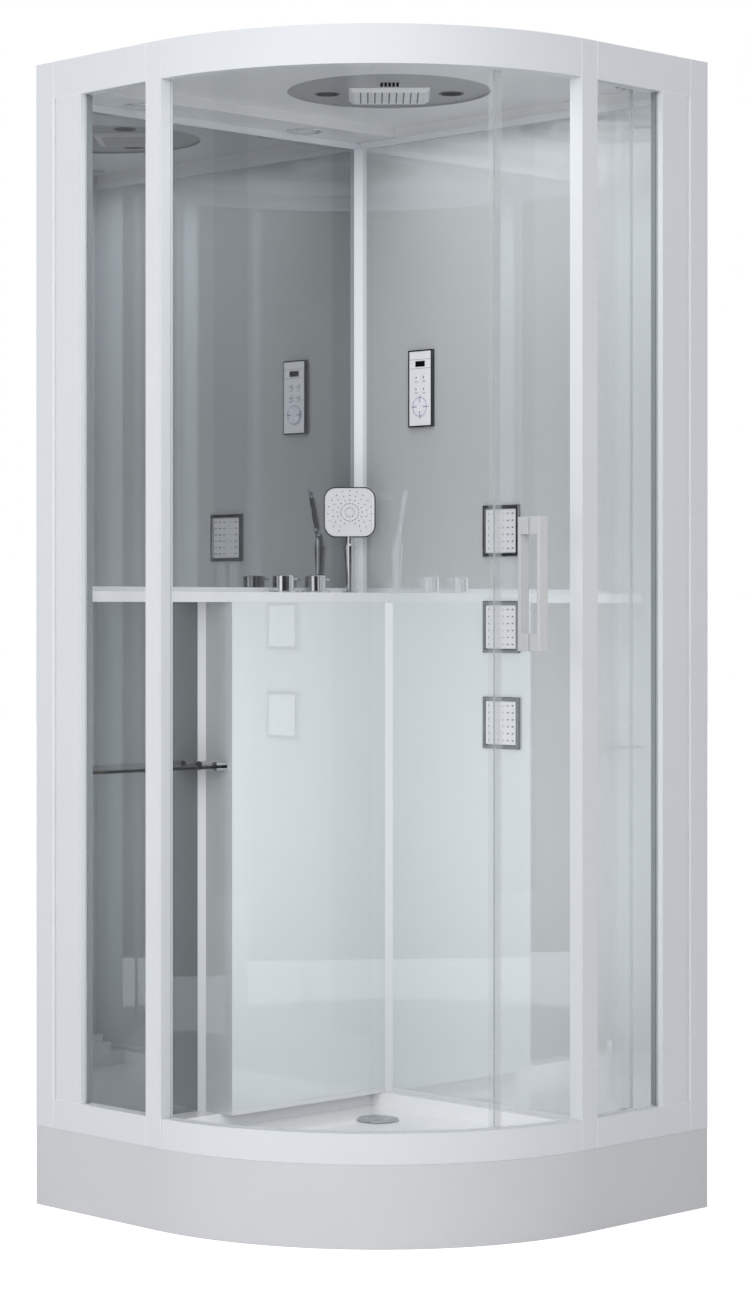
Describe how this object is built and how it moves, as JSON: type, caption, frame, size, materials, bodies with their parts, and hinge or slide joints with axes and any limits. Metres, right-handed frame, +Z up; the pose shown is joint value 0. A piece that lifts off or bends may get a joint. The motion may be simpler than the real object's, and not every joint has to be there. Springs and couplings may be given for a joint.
{
  "type": "shower cabin",
  "caption": "Quadrant shower cabin on a tray, with a curved sliding glass door, glass walls, body jets, a ledge with knobs and hand shower, a keypad and a roof with a rain head.",
  "frame": {"origin": "on the floor under the centre of the square footprint", "axes": "+Z up; the two walls meet in the back corner at -X +Y; +X runs along the right wall, -Y along the left wall; the curved door front faces +X -Y"},
  "size_m": [0.9, 0.9, 2.165],
  "materials": {
    "acrylic_white": "glossy white acrylic",
    "galvanised_steel": "galvanised tube",
    "foot_plastic": "black moulded feet",
    "waste_plastic": "white polypropylene",
    "satin_chrome": "satin cap",
    "white_frame": "white powder coat on aluminium",
    "clear_glass": "clear tempered glass",
    "seal_rubber": "grey glazing seal",
    "clear_seal": "clear vinyl strip",
    "white_handle": "white pull handle",
    "fixing_steel": "stainless fixings",
    "roller_nylon": "nylon wheel",
    "grey_glass": "dark grey back-painted glass",
    "white_glass": "white back-painted glass",
    "white_trim": "white trim",
    "ledge_white": "white solid ledge",
    "shelf_glass": "dark glass shelf",
    "chrome": "polished",
    "brass": "cast valve bodies",
    "spray_face": "white spray face",
    "dark_chrome": "polished rim",
    "jet_white": "white nozzle plate",
    "panel_silver": "silver-white keypad",
    "roof_white": "glossy moulded roof",
    "rain_white": "overhead shower",
    "black_plastic": "black moulding"
  },
  "bodies": {
    "root": {"tray": "acrylic_white", "tray_apron": "acrylic_white", "tray_frame": "galvanised_steel", "tray_feet": "foot_plastic", "drain_trap": "waste_plastic", "waste_pipe": "waste_plastic", "bottom_rail_curved": "white_frame", "bottom_rails_side": "white_frame", "top_rail_curved": "white_frame", "top_rails_side": "white_frame", "wall_profiles": "white_frame", "stiles": "white_frame", "posts": "white_frame", "fixed_glasses": "clear_glass", "glazing_seals": "seal_rubber", "curved_glass_fixed": "clear_glass", "upper_track": "white_frame", "lower_track": "white_frame", "wall_left_upper": "grey_glass", "wall_left_niche": "grey_glass", "wall_right": "white_glass", "rear_corner_post": "white_frame", "wall_trims": "white_trim", "ledge": "ledge_white", "column_front_panel": "white_glass", "column_side_panel": "white_glass", "shelf": "shelf_glass", "shelf_clips": "chrome", "valve_bodies": "brass", "ledge_fittings": "chrome", "jet_frames": "dark_chrome", "jet_plates": "jet_white", "jet_bodies": "waste_plastic", "panel_housing": "dark_chrome", "panel_face": "panel_silver", "roof_shell": "roof_white", "rain_head": "rain_white", "vent_fan_housing": "black_plastic", "speakers": "black_plastic", "downlights": "chrome"},
    "door": {"door_glass": "clear_glass", "door_lead_seal": "clear_seal", "door_trail_seal": "clear_seal", "door_handle_outer": "white_handle", "door_handle_inner": "white_handle", "handle_screws": "fixing_steel", "door_brackets": "fixing_steel"},
    "lead_roller": {"roller_lead": "roller_nylon"},
    "trail_roller": {"roller_trail": "roller_nylon"},
    "mixer_knob": {"knob_mixer": "chrome"},
    "diverter_knob": {"knob_diverter": "chrome"},
    "hand_set": {"hand_shower": "chrome", "hand_shower_face": "spray_face"},
    "waste_cover": {"drain_cover": "satin_chrome"},
    "fan": {"vent_impeller": "black_plastic"},
    "upper_left_key": {"key_1": "panel_silver"},
    "upper_right_key": {"key_2": "panel_silver"},
    "lower_left_key": {"key_3": "panel_silver"},
    "lower_right_key": {"key_4": "panel_silver"},
    "ring_key": {"key_ring": "panel_silver"}
  },
  "joints": [
    {"name": "door_run", "type": "hinge", "parent": "root", "child": "door", "pos_m": [-0.11, 0.11, 1.15], "axis": [0, 0, 1], "range_deg": [-23.4, 7.5]},
    {"name": "lead_roller_spin", "type": "hinge", "parent": "door", "child": "lead_roller", "pos_m": [0.3887, -0.033, 2.1343], "axis": [0.9613, -0.2756, 0], "range_deg": [-400, 1230]},
    {"name": "trail_roller_spin", "type": "hinge", "parent": "door", "child": "trail_roller", "pos_m": [0.38054, 0.27891, 2.1343], "axis": [0.9455, 0.3256, 0], "range_deg": [-400, 1230]},
    {"name": "mixer_turn", "type": "hinge", "parent": "root", "child": "mixer_knob", "pos_m": [-0.4, 0.15, 1.18], "axis": [0, 0, 1], "range_deg": [-60, 60]},
    {"name": "diverter_turn", "type": "hinge", "parent": "root", "child": "diverter_knob", "pos_m": [-0.4, 0.24, 1.18], "axis": [0, 0, 1], "range_deg": [-90, 90]},
    {"name": "hand_set_lift", "type": "slide", "parent": "root", "child": "hand_set", "axis": [0, 0, 1], "range_m": [0, 0.12]},
    {"name": "waste_cover_lift", "type": "slide", "parent": "root", "child": "waste_cover", "axis": [0, 0, 1], "range_m": [0, 0.04]},
    {"name": "fan_spin", "type": "hinge", "parent": "root", "child": "fan", "pos_m": [0.0155, 0.0345, 2.14], "axis": [0, 0, 1], "continuous": true},
    {"name": "upper_left_key_press", "type": "slide", "parent": "root", "child": "upper_left_key", "axis": [0, 1, 0], "range_m": [0, 0.001], "stiffness_N_per_m": 300},
    {"name": "upper_right_key_press", "type": "slide", "parent": "root", "child": "upper_right_key", "axis": [0, 1, 0], "range_m": [0, 0.001], "stiffness_N_per_m": 300},
    {"name": "lower_left_key_press", "type": "slide", "parent": "root", "child": "lower_left_key", "axis": [0, 1, 0], "range_m": [0, 0.001], "stiffness_N_per_m": 300},
    {"name": "lower_right_key_press", "type": "slide", "parent": "root", "child": "lower_right_key", "axis": [0, 1, 0], "range_m": [0, 0.001], "stiffness_N_per_m": 300},
    {"name": "ring_key_press", "type": "slide", "parent": "root", "child": "ring_key", "axis": [0, 1, 0], "range_m": [0, 0.001], "stiffness_N_per_m": 500}
  ],
  "couplings": [
    {"joint": "lead_roller_spin", "follows": "door_run", "ratio": -51.88},
    {"joint": "trail_roller_spin", "follows": "door_run", "ratio": -51.88}
  ]
}
